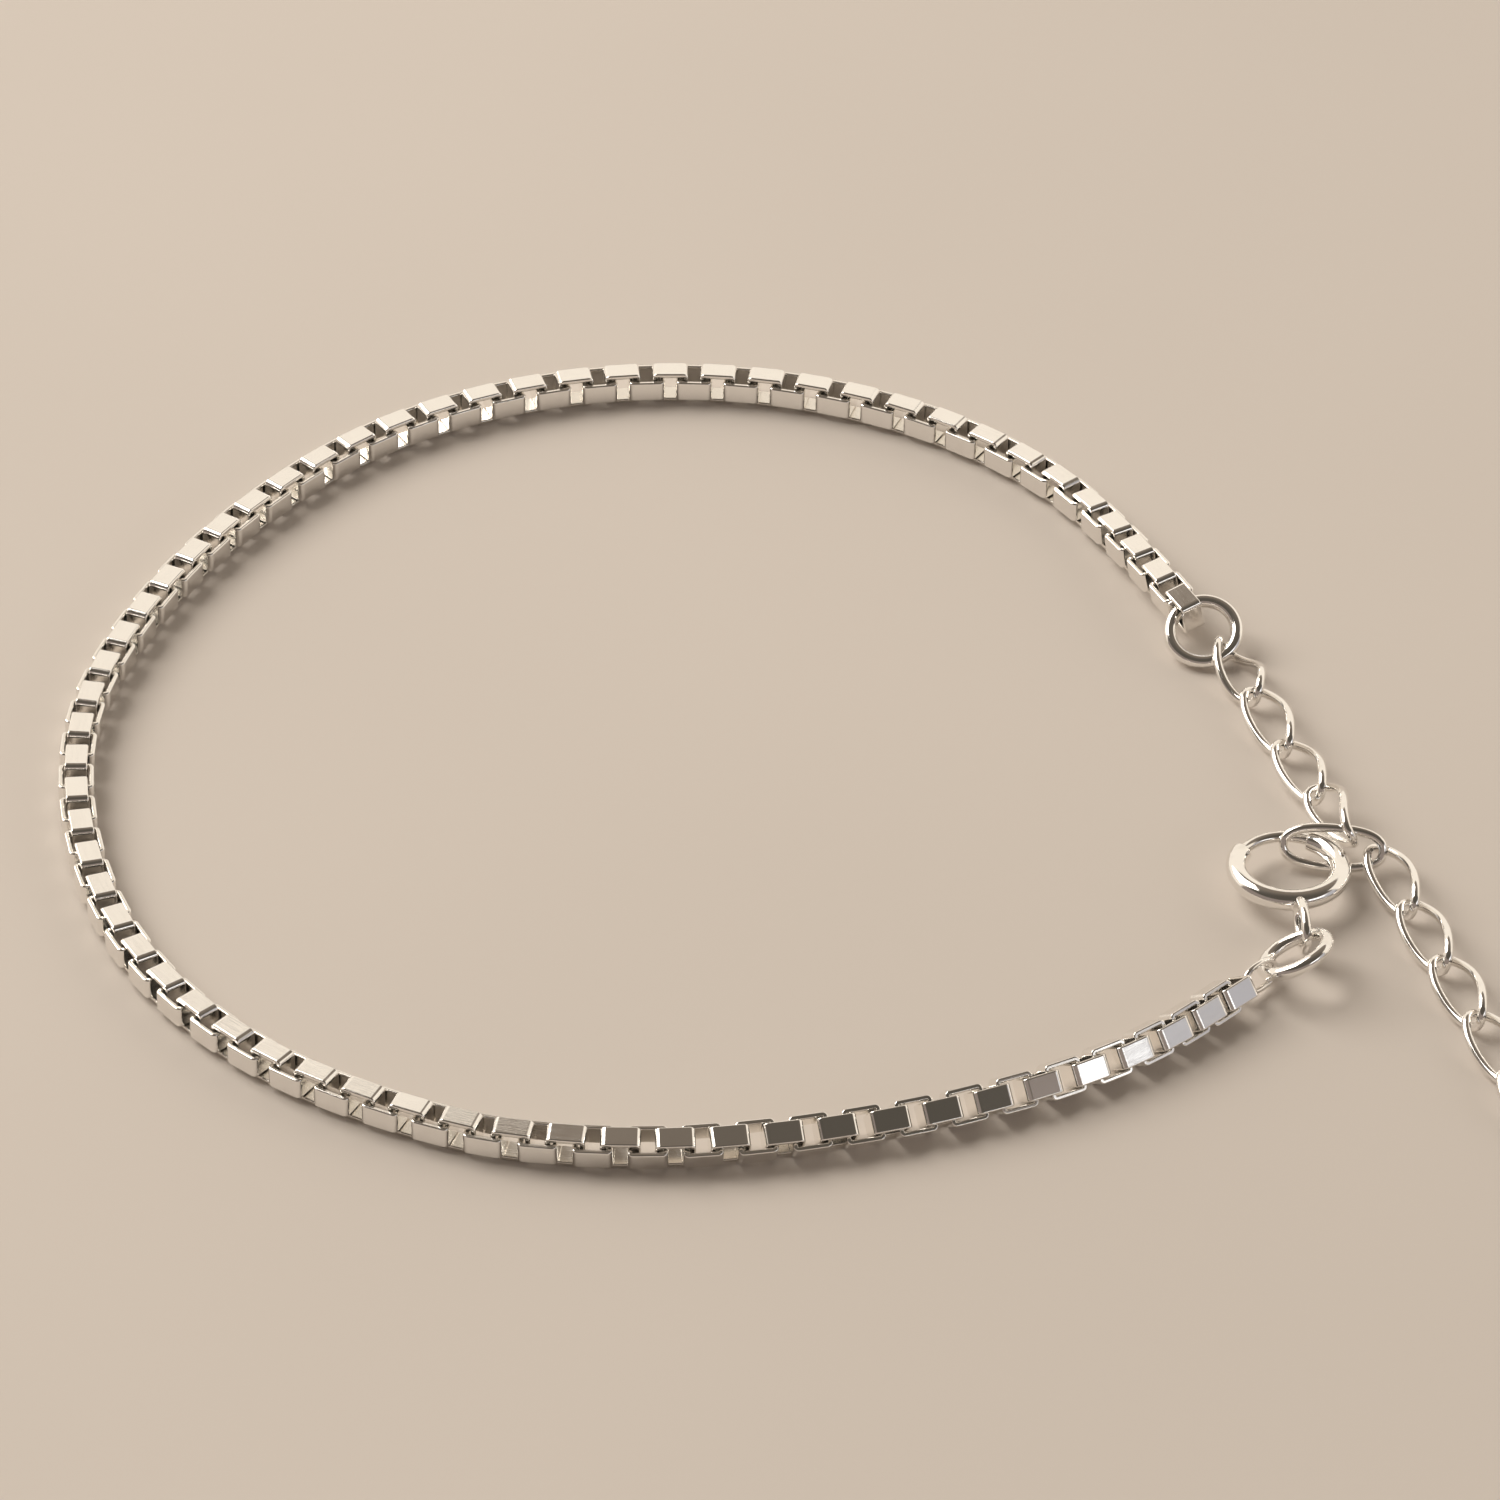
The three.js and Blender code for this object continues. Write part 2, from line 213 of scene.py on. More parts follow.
class BraceletExtenderSettings(bpy.types.PropertyGroup):
    """Sizes of the extender chain."""

    pitch: length("Pitch", "Length from one link's hold to the next", 0.00415)
    width: length("Link width", "Across a link", 0.0023)
    wire: length("Link wire", "Thickness of a link's wire", 0.00044)
    play: length("Play", "Slack between two links", 0.0001)
    lean: angle("Lean", "How far a link turns over as it lies", 30)
    twist: angle("Twist", "How far each end of a link is twisted", 45)
    squareness: amount("Squareness", "1 is an oval, and less is squarer", 0.8)
    first_lean: angle("First link's lean", "Lean of the link on ring A", 4)
    first_twist: angle("First link's twist", "Twist of that link", 70)
    last_lean: angle("Last link's lean", "Lean of the link before the held one", 60)
    last_twist: angle("Last link's twist", "Twist of that link", 55)
    held_lean: angle("Held link's lean", "Lean of the link that the bolt ring holds", 60)
    held_heading: angle("Held link's heading", "Its turn from the X axis, seen from above", -5)


class BraceletFinishSettings(bpy.types.PropertyGroup):
    """Colours and polish of the silver."""

    silver: colour("Silver", "Colour of the polished silver", (0.93, 0.915, 0.89))
    worn: colour("Handled silver", "Colour where handling has dulled it a little", (0.86, 0.835, 0.80))
    inside: colour("Silver inside", "Colour inside the links, where no cloth reaches", (0.88, 0.85, 0.80))
    polish: amount("Polish", "Roughness of the round wire", 0.09)
    plate_polish: amount("Plate polish", "Roughness of the flat plates", 0.10)
    brushing: amount("Brushing", "Depth of the fine lengthwise lines on the plates", 0.35)
    scratches: amount("Scratches", "Depth of the finest scratches on the round wire", 0.10)


class BraceletStageSettings(bpy.types.PropertyGroup):
    """Surface, light and camera."""

    surface: colour("Surface", "Colour of the surface that the bracelet lies on", (0.715, 0.65, 0.59))
    surface_size: length("Surface size", "Width of that surface", 6.0)
    wall: colour("Pale wall", "Light that the pale wall round the table gives", (1.0, 0.90, 0.77))
    room: colour("Room", "Light from the room above the wall", (0.23, 0.185, 0.145))
    ceiling: colour("Ceiling", "Light from the dark part of the ceiling", (0.090, 0.078, 0.063))
    near_side: colour("Near side", "Light from the side on which the camera stands", (0.27, 0.22, 0.19))
    sky: colour("Sky", "Light from below the window's frame", (0.48, 0.46, 0.475))
    window: amount("Window", "Brightness of the window", 1.7, high=10.0)
    softbox: position("Softbox", "Where the softbox stands", (-0.49, 0.27, 0.55))
    softbox_size: length("Softbox size", "Width of the square softbox", 0.56)
    softbox_power: FloatProperty(
        name="Softbox power", description="Power of the softbox", default=5.2, min=0.0, unit="POWER",
    )
    softbox_colour: colour("Softbox colour", "Colour of the softbox's light", (1.0, 0.95, 0.88))
    camera: position("Camera", "Where the camera stands", (-0.0019, -0.298806, 0.239372))
    camera_tilt: angle("Camera tilt", "How far the camera looks down", 38.63)
    camera_roll: angle("Camera roll", "How far it is turned about its own line", 1.093)
    lens: FloatProperty(
        name="Lens", description="Focal length in millimetres", default=192.0, min=1.0, unit="CAMERA",
    )


# ---------------------------------------------------------------- shader nodes

class Value:
    """A number that changes over a surface. Arithmetic on it adds Math nodes."""

    def __init__(self, finish, socket):
        self.finish = finish
        self.socket = socket

    def math(self, operation, *others):
        """The result of a Math node on this number and the others."""
        inputs = dict(enumerate((self, *others)))
        node = self.finish.node("ShaderNodeMath", {"operation": operation}, inputs)
        return Value(self.finish, node.outputs[0])

    def __add__(self, other):
        return self.math("ADD", other)

    __radd__ = __add__

    def __mul__(self, other):
        return self.math("MULTIPLY", other)

    __rmul__ = __mul__

    def __sub__(self, other):
        return self.math("SUBTRACT", other)

    def __rsub__(self, other):
        return self * -1.0 + other

    def between(self, low, high):
        """0 below `low`, 1 above `high`, and smooth in between."""
        node = self.finish.node(
            "ShaderNodeMapRange", {"interpolation_type": "SMOOTHSTEP"},
            {"Value": self, "From Min": low, "From Max": high},
        )
        return Value(self.finish, node.outputs["Result"])


class Finish:
    """The nodes of one material or of the world."""

    def __init__(self, tree):
        self.tree = tree
        tree.nodes.clear()

    def node(self, kind, settings=None, inputs=None):
        """Adds a node: its settings first, then the values or links of its sockets."""
        node = self.tree.nodes.new(kind)
        for name, value in (settings or {}).items():
            setattr(node, name, value)
        for name, value in (inputs or {}).items():
            if isinstance(value, Value):
                value = value.socket
            if isinstance(value, bpy.types.NodeSocket):
                self.tree.links.new(value, node.inputs[name])
            else:
                node.inputs[name].default_value = value
        return node

    def value(self, kind, output, settings=None, inputs=None):
        """One output of a new node, as a number to calculate with."""
        return Value(self, self.node(kind, settings, inputs).outputs[output])

    def mix(self, factor, first, second):
        """A colour between two others."""
        node = self.node("ShaderNodeMix", {"data_type": "RGBA"}, {"Factor": factor})
        for name, shade in (("A_Color", first), ("B_Color", second)):
            socket = next(s for s in node.inputs if s.identifier == name)
            if isinstance(shade, bpy.types.NodeSocket):
                self.tree.links.new(shade, socket)
            else:
                socket.default_value = (*shade, 1.0)
        return next(s for s in node.outputs if s.identifier == "Result_Color")

    def noise(self, vector, scale=1.0, detail=2.0, roughness=0.5):
        """Soft noise from about 0 to 1."""
        return self.value(
            "ShaderNodeTexNoise", "Fac", {"noise_dimensions": "3D"},
            {"Vector": vector, "Scale": scale, "Detail": detail, "Roughness": roughness},
        )

    def scaled(self, vector, factors):
        """A vector with each part multiplied by its own factor."""
        node = self.node("ShaderNodeVectorMath", {"operation": "MULTIPLY"}, {0: vector, 1: factors})
        return node.outputs["Vector"]


def metal(finish, shade, roughness, height, depth, distance):
    """Ends a material in polished metal with a fine relief."""
    relief = finish.node("ShaderNodeBump", None, {"Strength": depth, "Distance": distance, "Height": height})
    shader = finish.node("ShaderNodeBsdfPrincipled", None, {
        "Base Color": shade, "Metallic": 1.0, "Roughness": roughness, "Normal": relief.outputs["Normal"],
    })
    finish.node("ShaderNodeOutputMaterial", None, {"Surface": shader.outputs["BSDF"]})


def new_material(name):
    """An empty material that is ready for nodes."""
    material = bpy.data.materials.new(name)
    material.use_nodes = True
    return material


def polished_silver():
    """Round wire and tube: bright, with a few fine scratches and slightly dulled patches."""
    material = bpy.data.materials.get("polished_silver")
    if material:
        return material
    settings = bpy.context.scene.bracelet_finish
    material = new_material("polished_silver")
    finish = Finish(material.node_tree)
    place = finish.node("ShaderNodeTexCoord").outputs["Object"]
    patches = finish.noise(place, scale=900.0, detail=3.0, roughness=0.55)
    drawn_out = finish.scaled(place, (1.0, 0.22, 1.0))
    scratches = finish.noise(drawn_out, scale=16000.0, detail=3.0, roughness=0.6)
    dulled = patches.between(0.48, 0.72)
    shade = finish.mix(dulled, settings.silver, settings.worn)
    roughness = dulled * 0.07 + scratches.between(0.5, 0.8) * 0.05 + settings.polish
    metal(finish, shade, roughness, scratches, depth=settings.scratches, distance=0.000004)
    return material


def brushed_silver():
    """Flat plates of the box links: fine lines along each strip, darker on the inner side."""
    material = bpy.data.materials.get("brushed_silver")
    if material:
        return material
    settings = bpy.context.scene.bracelet_finish
    material = new_material("brushed_silver")
    finish = Finish(material.node_tree)
    place = finish.node("ShaderNodeAttribute", {"attribute_name": "strip_place"}).outputs["Vector"]
    wear = finish.value("ShaderNodeAttribute", "Fac", {"attribute_name": "brushed"})
    inner = finish.value("ShaderNodeAttribute", "Fac", {"attribute_name": "inside"})
    fine = finish.noise(finish.scaled(place, (1.1, 21.0, 5.3)), detail=3.0, roughness=0.6)
    broad = finish.noise(finish.scaled(place, (0.5, 7.0, 3.1)))
    patches = finish.noise(finish.scaled(place, (1.3, 1.3, 2.7)))
    lines = (fine * 0.65 + broad * 0.35).between(0.36, 0.66)
    cuts = fine.between(0.60, 0.70) * wear
    worn = cuts * 0.55 + patches.between(0.45, 0.8) * 0.25
    outer = finish.mix(worn, settings.silver, settings.worn)
    shade = finish.mix(inner, outer, settings.inside)
    roughness = lines * wear * 0.14 + inner * 0.10 + settings.plate_polish
    metal(finish, shade, roughness, lines * wear, depth=settings.brushing, distance=0.000006)
    return material


# ---------------------------------------------------------------- curves

def fade(distance, reach):
    """Falls smoothly from 1 at an end to 0 at `reach` along."""
    return 0.5 * (1.0 + math.cos(math.pi * min(distance / reach, 1.0)))


def spaced(points, count, closed):
    """`count` points at even steps along a fine line of points."""
    line = points + [points[0]] if closed else points
    run = [0.0]
    for a, b in zip(line, line[1:]):
        run.append(run[-1] + (b - a).length)
    found = []
    at = 0
    for i in range(count):
        target = run[-1] * i / (count if closed else count - 1)
        while at < len(run) - 2 and run[at + 1] < target:
            at += 1
        share = (target - run[at]) / (run[at + 1] - run[at])
        found.append(line[at].lerp(line[at + 1], share))
    return found


def smooth_line(knots, steps=60):
    """Fine points of the smooth curve that runs through every knot."""
    ends = [knots[0] * 2 - knots[1], knots[-1] * 2 - knots[-2]]
    pins = [ends[0], *knots, ends[1]]
    fine = []
    for a, b, c, d in zip(pins, pins[1:], pins[2:], pins[3:]):
        gaps = [math.sqrt((q - p).length) for p, q in ((a, b), (b, c), (c, d))]
        start = ((b - a) / gaps[0] - (c - a) / (gaps[0] + gaps[1]) + (c - b) / gaps[1]) * gaps[1]
        finish = ((c - b) / gaps[1] - (d - b) / (gaps[1] + gaps[2]) + (d - c) / gaps[2]) * gaps[1]
        for i in range(steps):
            t = i / steps
            fine.append(
                b * (2 * t ** 3 - 3 * t ** 2 + 1) + start * (t ** 3 - 2 * t ** 2 + t)
                + c * (3 * t ** 2 - 2 * t ** 3) + finish * (t ** 3 - t ** 2)
            )
    fine.append(knots[-1].copy())
    return fine


class ChainLine:
    """The chain's middle line, with its height and lean, by length along it."""

    def __init__(self, settings):
        self.settings = settings
        fine = smooth_line([Vector((x, y, 0.0)) for x, y in CHAIN_ROUTE])
        self.points = spaced(fine, count=3001, closed=False)
        self.length = sum((b - a).length for a, b in zip(self.points, self.points[1:]))

    def at(self, distance):
        place = min(max(distance / self.length, 0.0), 1.0) * (len(self.points) - 1)
        low = min(int(place), len(self.points) - 2)
        return self.points[low].lerp(self.points[low + 1], place - low)

    def lean(self, distance):
        s = self.settings
        clasp_lean = s.clasp_lean * fade(max(distance - s.lean_hold, 0.0), s.lean_length)
        return s.ring_lean * fade(self.length - distance, s.ring_length) - clasp_lean

    def centre(self, distance):
        """A point on the middle line, at the height where the leaning chain rests on the surface."""
        s = self.settings
        upright, across = math.cos(self.lean(distance)), abs(math.sin(self.lean(distance)))
        point = self.at(distance)
        point.z = 0.5 * max(s.width * upright + s.strip * across, s.width * across + s.strip * upright)
        point.z += s.ring_rise * fade(self.length - distance, s.ring_length)
        return point

    def placement(self, distance):
        """Turns x along the chain and z to its upper plates."""
        step = 0.0006
        along = (self.centre(distance + step) - self.centre(distance - step)).normalized()
        side = UP.cross(along).normalized()
        basis = Matrix((along, side, along.cross(side))).transposed()
        turned = basis @ Matrix.Rotation(self.lean(distance), 3, "X")
        return Matrix.Translation(self.centre(distance)) @ turned.to_4x4()


def turned_to(along, top=UP):
    """A turn that takes x to `along` and z as near to `top` as that allows."""
    x = along.normalized()
    y = top.cross(x).normalized()
    return Matrix((x, y, x.cross(y))).transposed().to_4x4()


def bent(share, squareness):
    """Bends a sine or cosine, so that a round outline turns squarer as `squareness` falls from 1."""
    return math.copysign(abs(share) ** squareness, share)


def oval_line(size, width, squareness, twist=0.0, count=96):
    """Points of an oval link's middle line, its ends twisted about its length."""
    fine = []
    steps = 2400
    for i in range(steps):
        a = 2 * math.pi * i / steps
        x, y = bent(math.cos(a), squareness), bent(math.sin(a), squareness)
        point = Vector((x * size / 2, y * width / 2, 0.0))
        fine.append(Matrix.Rotation(twist * x, 3, "X") @ point)
    return spaced(fine, count, closed=True)


# ---------------------------------------------------------------- meshes

class Skin:
    """Points, faces and surface values of a mesh while it is being made."""

    def __init__(self):
        self.points = []
        self.faces = []
        self.normals = []
        self.values = {}

    def add(self, points, faces, normals=None, **values):
        """Adds points and faces, and a normal and the named values at each point if given."""
        start = len(self.points)
        self.points.extend(points)
        self.faces.extend(tuple(start + i for i in face) for face in faces)
        self.normals.extend(normals or [])
        for name, found in values.items():
            self.values.setdefault(name, []).extend(found)

    def build(self, name, material, sharp=None):
        """Makes the mesh and its object. Edges that turn by more than `sharp` stay sharp."""
        mesh = bpy.data.meshes.new(name)
        mesh.from_pydata([tuple(p) for p in self.points], [], self.faces)
        mesh.validate()
        mesh.shade_smooth()
        for value, found in self.values.items():
            if isinstance(found[0], float):
                mesh.attributes.new(value, "FLOAT", "POINT").data.foreach_set("value", found)
            else:
                parts = [part for vector in found for part in vector]
                mesh.attributes.new(value, "FLOAT_VECTOR", "POINT").data.foreach_set("vector", parts)
        if self.normals:
            mesh.normals_split_custom_set_from_vertices([tuple(n) for n in self.normals])
        elif sharp:
            mesh.set_sharp_from_angle(angle=sharp)
        mesh.materials.append(material)
        piece = bpy.data.objects.new(name, mesh)
        bpy.context.scene.collection.objects.link(piece)
        return piece


def grid_faces(rows, columns, closed_rows):
    """Faces of a tube: its columns close on themselves, and its rows do if asked."""
    faces = []
    for r in range(rows if closed_rows else rows - 1):
        for c in range(columns):
            low, high = r * columns, ((r + 1) % rows) * columns
            ahead = (c + 1) % columns
            faces.append((low + c, low + ahead, high + ahead, high + c))
    return faces


def carried_sides(line, closed):
    """A side direction at each point, carried along the line without spin."""
    count = len(line)
    tangents = []
    for i in range(count):
        before = line[i - 1] if closed or i else line[0]
        after = line[(i + 1) % count] if closed or i < count - 1 else line[-1]
        tangents.append((after - before).normalized())
    side = tangents[0].orthogonal().normalized()
    sides = []
    for i in range(count + (1 if closed else 0)):
        tangent = tangents[i % count]
        side = (side - tangent * side.dot(tangent)).normalized()
        sides.append(side.copy())
    if closed:
        first, last = sides[0], sides.pop()
        spin = math.atan2(tangents[0].dot(last.cross(first)), last.dot(first))
        sides = [Matrix.Rotation(spin * i / count, 3, tangents[i]) @ s for i, s in enumerate(sides)]
    return tangents, sides


def wire_loop(skin, line, radius, place, columns=20, radii=None):
    """A closed round wire along a closed line."""
    tangents, sides = carried_sides(line, True)
    turn = place.to_3x3()
    points, normals = [], []
    for i, (centre, tangent, side) in enumerate(zip(line, tangents, sides)):
        other = tangent.cross(side)
        size = radii[i] if radii else radius
        for c in range(columns):
            a = 2 * math.pi * c / columns
            normal = side * math.cos(a) + other * math.sin(a)
            points.append(place @ (centre + normal * size))
            normals.append(turn @ normal)
    skin.add(points, grid_faces(len(line), columns, True), normals)


def arc_outline(half_a, half_b, radius, steps):
    """A rounded rectangle, as (a, b, normal a, normal b), counter-clockwise from its +a side."""
    outline = []
    for corner in range(4):
        ca = (half_a - radius) * (1, -1, -1, 1)[corner]
        cb = (half_b - radius) * (1, 1, -1, -1)[corner]
        for i in range(steps + 1):
            a = math.pi / 2 * (corner + i / steps)
            na, nb = math.cos(a), math.sin(a)
            outline.append((ca + radius * na, cb + radius * nb, na, nb))
    return outline


def box_link(skin, settings, place, number, brushed):
    """One link: a strip bent into a closed box, its length along x and the strip across y."""
    half = settings.thickness / 2
    half_length, half_width = settings.link_length / 2 - half, settings.width / 2 - half
    middle = arc_outline(half_length, half_width, settings.bend - half, steps=5)
    section = arc_outline(half, settings.strip / 2, settings.edge, steps=2)
    turn = place.to_3x3()
    points, normals, places, inside, wear = [], [], [], [], []
    run = 0.0
    last = middle[-1]
    for x, z, nx, nz in middle:
        run += math.hypot(x - last[0], z - last[1])
        last = (x, z)
        out = Vector((nx, 0.0, nz))
        for depth, across, n_out, n_across in section:
            points.append(place @ (Vector((x, across, z)) + out * depth))
            normals.append(turn @ (out * n_out + Vector((0.0, n_across, 0.0))))
            places.append((run / MM, across / MM, float(number)))
            inside.append(min(max(0.5 - depth / half, 0.0), 1.0))
            wear.append(brushed)
    faces = grid_faces(len(middle), len(section), True)
    skin.add(points, faces, normals, strip_place=places, inside=inside, brushed=wear)


def bead(skin, place, size):
    """A low bead of solder, with its half sizes along x, y and z."""
    rows, columns = 9, 20
    turn = place.to_3x3()
    points, normals = [], []
    for r in range(rows):
        a = math.pi * (r + 0.5) / rows
        for c in range(columns):
            b = 2 * math.pi * c / columns
            ball = (math.cos(a), math.sin(a) * math.cos(b), math.sin(a) * math.sin(b))
            points.append(place @ Vector([part * half for part, half in zip(ball, size)]))
            normals.append((turn @ Vector([part / half for part, half in zip(ball, size)])).normalized())
    faces = [face[::-1] for face in grid_faces(rows, columns, False)]
    faces += [tuple(range(columns)), tuple(reversed(range((rows - 1) * columns, rows * columns)))]
    skin.add(points, faces, normals)


def link_distances(settings, total):
    """Where each link sits along the chain: closer together at the clasp end."""
    steps = []
    for i in range(settings.intervals):
        steps.append(1.0 - settings.bunching * fade(i + 0.5, settings.bunched_links))
    scale = total / sum(steps)
    found = [0.0]
    for step in steps:
        found.append(found[-1] + step * scale)
    return found


def brushing_at(distance):
    """How strongly a link's plates are brushed: more where the chain has rubbed on cloth and clasp."""
    clasp_stretch, front_middle, rest_from = 0.0070, 0.0345, 0.0360
    by_clasp = fade(max(distance - clasp_stretch, 0.0), reach=0.0030)
    in_front = fade(abs(distance - front_middle), reach=0.0060)
    elsewhere = 0.45 * (1.0 - fade(max(distance - rest_from, 0.0), reach=0.010))
    return min(1.0, by_clasp + in_front + elsewhere)


def seated(piece, node, body, slack=0.0004):
    """Lets a piece stand for its CAD node and move with its body, once it is where the node is."""
    bpy.context.view_layer.update()
    low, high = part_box(node)
    points = [piece.matrix_world @ vertex.co for vertex in piece.data.vertices]
    for axis in range(3):
        least, most = min(p[axis] for p in points), max(p[axis] for p in points)
        if abs(least - low[axis]) > slack or abs(most - high[axis]) > slack:
            raise RuntimeError(f"{piece.name} isn't where {node} is along axis {axis}: {least} to {most}")
    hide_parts(node)
    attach(piece, body)


# ---------------------------------------------------------------- box chain

class BRACELET_OT_box_chain(bpy.types.Operator):
    """Build the run of interlocked box links"""

    bl_idname = "bracelet.box_chain"
    bl_label = "Box chain"

    def execute(self, context):
        settings = context.scene.bracelet_chain
        line = ChainLine(settings)
        chance = random.Random(CHANCE_SEED)
        skin = Skin()
        distances = link_distances(settings, line.length)
        for i, distance in list(enumerate(distances))[1:-1]:
            place = line.placement(distance) @ Matrix.Rotation(math.pi / 2 * (i % 2), 4, "X")
            for axis in "XYZ":
                place = place @ Matrix.Rotation(chance.uniform(-settings.play, settings.play), 4, axis)
            box_link(skin, settings, place, i, brushing_at(distance) * chance.uniform(0.7, 1.0))
        piece = skin.build("box_links", brushed_silver())
        seated(piece, "box_chain", "bracelet", slack=0.0012)
        return {"FINISHED"}


def soldered_loop(skin, settings):
    """The small loop of round wire, soldered to the chain's end link, that holds ring B."""
    start, end = (Vector(point) for point in END_LOOP)
    turn = turned_to(end - start, Vector(settings.loop_faces))
    width = settings.loop_width - settings.loop_wire
    line = oval_line((end - start).length, width, squareness=0.8)
    wire = Skin()
    wire_loop(wire, line, settings.loop_wire / 2, Matrix.Translation((start + end) / 2) @ turn)
    bead(wire, Matrix.Translation(start) @ turn, LOOP_SOLDER)
    plain = [0.0] * len(wire.points)
    places = [tuple(point / MM) for point in wire.points]
    skin.add(wire.points, wire.faces, wire.normals, strip_place=places, inside=plain, brushed=plain)


class BRACELET_OT_end_links(bpy.types.Operator):
    """Build the box link at each end of the chain, and the loop that is soldered to one of them"""

    bl_idname = "bracelet.end_links"
    bl_label = "End links"

    def execute(self, context):
        settings = context.scene.bracelet_chain
        line = ChainLine(settings)
        ends = (
            ("chain_end_link_b", 0.0, 0, 0.15),
            ("chain_end_link_a", line.length, settings.intervals, 0.3),
        )
        for node, distance, number, brushed in ends:
            skin = Skin()
            box_link(skin, settings, line.placement(distance), number, brushed)
            if distance == 0.0:
                soldered_loop(skin, context.scene.bracelet_rings)
            piece = skin.build(f"{node}_strip", brushed_silver())
            seated(piece, node, "bracelet")
        return {"FINISHED"}


# ---------------------------------------------------------------- rings

def jump_ring(node, normal, seam, settings):
    """A round wire ring with the hairline of its soldered joint."""
    low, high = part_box(node)
    turn = UP.rotation_difference(normal.normalized()).to_matrix().to_4x4()
    place = Matrix.Translation((low + high) / 2) @ turn
    radius = (settings.jump_outer - settings.jump_wire) / 2
    wire = settings.jump_wire / 2
    count = 120
    line = []
    for i in range(count):
        a = 2 * math.pi * i / count + seam
        line.append(Vector((radius * math.cos(a), radius * math.sin(a), 0.0)))
    radii = [wire * 0.95] + [wire] * (count - 1)
    skin = Skin()
    wire_loop(skin, line, wire, place, columns=28, radii=radii)
    piece = skin.build(f"{node}_wire", polished_silver())
    seated(piece, node, "bracelet", slack=0.0003)


class BRACELET_OT_jump_rings(bpy.types.Operator):
    """Build ring A at the extender and ring B at the clasp"""

    bl_idname = "bracelet.jump_rings"
    bl_label = "Jump rings"

    def execute(self, context):
        settings = context.scene.bracelet_rings
        jump_ring("jump_ring_a", Vector(settings.ring_a_normal), seam=2.6, settings=settings)
        jump_ring("jump_ring_b", Vector(settings.ring_b_normal), seam=4.3, settings=settings)
        return {"FINISHED"}


# ---------------------------------------------------------------- bolt ring

def clasp_place(settings):
    """Where the bolt ring stands, with its tab's side a little higher."""
    return Matrix.Translation(settings.centre) @ Matrix.Rotation(-settings.front_rise, 4, "X")


def on_ring(radius, at, out, up):
    """A point of the ring's tube: `at` round the ring, then outwards and up from its middle line."""
    return Vector(((radius + out) * math.cos(at), (radius + out) * math.sin(at), up))


def tube_angles(wall, settings):
    """Angles round the tube's section: first the closed part, then the slot's width."""
    low = math.asin(max(-1.0, (-settings.slot_drop - settings.slot_width / 2) / wall))
    high = math.asin((-settings.slot_drop + settings.slot_width / 2) / wall)
    closed, open_part = 40, 6
    start, end = high, 2 * math.pi + low
    angles = [start + (end - start) * i / closed for i in range(closed)]
    angles += [end + (start + 2 * math.pi - end) * i / open_part for i in range(open_part)]
    return angles, closed


def clasp_tube(skin, settings, place):
    """The ring's hollow tube, with rounded lips at its mouth and the trigger's slot in its outer side."""
    ring = (settings.outer - settings.tube) / 2
    walls = (settings.tube / 2, settings.bore / 2)
    inset = (walls[0] - walls[1]) / 2 / ring
    full = 2 * math.pi
    stops = [
        settings.mouth_to + inset, settings.slot_from + full,
        settings.slot_to + full, settings.mouth_from + full - inset,
    ]
    row_spacing = 2.5
    rows = []
    for start, end in zip(stops, stops[1:]):
        count = max(3, round(math.degrees(end - start) / row_spacing))
        rows += [start + (end - start) * i / count for i in range(count)]
    rows.append(stops[-1])
    slot_rows = (rows.index(stops[1]), rows.index(stops[2]))
    outer, closed = tube_angles(walls[0], settings)
    inner, _ = tube_angles(walls[1], settings)
    columns = len(outer)
    points = []
    for wall, angles in zip(walls, (outer, inner)):
        for at in rows:
            points += [on_ring(ring, at, wall * math.cos(a), wall * math.sin(a)) for a in angles]
    shell = len(rows) * columns
    faces = []
    # The outer and the inner wall, open along the slot, and the slot's two long sides.
    for r in range(len(rows) - 1):
        in_slot = slot_rows[0] <= r < slot_rows[1]
        for c in range(closed if in_slot else columns):
            ahead = (c + 1) % columns
            low, high = r * columns, (r + 1) * columns
            quad = (low + c, low + ahead, high + ahead, high + c)
            faces.append(quad)
            faces.append(tuple(shell + i for i in quad[::-1]))
        if in_slot:
            for c, flip in ((0, True), (closed, False)):
                low, high = r * columns + c, (r + 1) * columns + c
                quad = (low, high, shell + high, shell + low)
                faces.append(quad if flip else quad[::-1])
    # The slot's two ends.
    for r, flip in zip(slot_rows, (False, True)):
        for c in range(closed, columns):
            low, ahead = r * columns + c, r * columns + (c + 1) % columns
            quad = (low, ahead, shell + ahead, shell + low)
            faces.append(quad if flip else quad[::-1])
    # The lips at the mouth's two ends, each bent over from the outer wall to the inner one.
    steps = 5
    for r, sign in ((0, -1.0), (len(rows) - 1, 1.0)):
        ends = [r * columns + c for c in range(columns)]
        for i in range(1, steps + 1):
            bend = math.pi * i / steps
            if i == steps:
                nexts = [shell + r * columns + c for c in range(columns)]
            else:
                nexts = [len(points) + c for c in range(columns)]
                share = (1 - math.cos(bend)) / 2
                at = rows[r] + sign * inset * math.sin(bend)
                for a_out, a_in in zip(outer, inner):
                    reach = walls[0] * (1 - share) + walls[1] * share
                    turn = a_out * (1 - share) + a_in * share
                    points.append(on_ring(ring, at, reach * math.cos(turn), reach * math.sin(turn)))
            for c in range(columns):
                ahead = (c + 1) % columns
                quad = (ends[c], ends[ahead], nexts[ahead], nexts[c])
                faces.append(quad if sign > 0 else quad[::-1])
            ends = nexts
    skin.add([place @ p for p in points], faces)


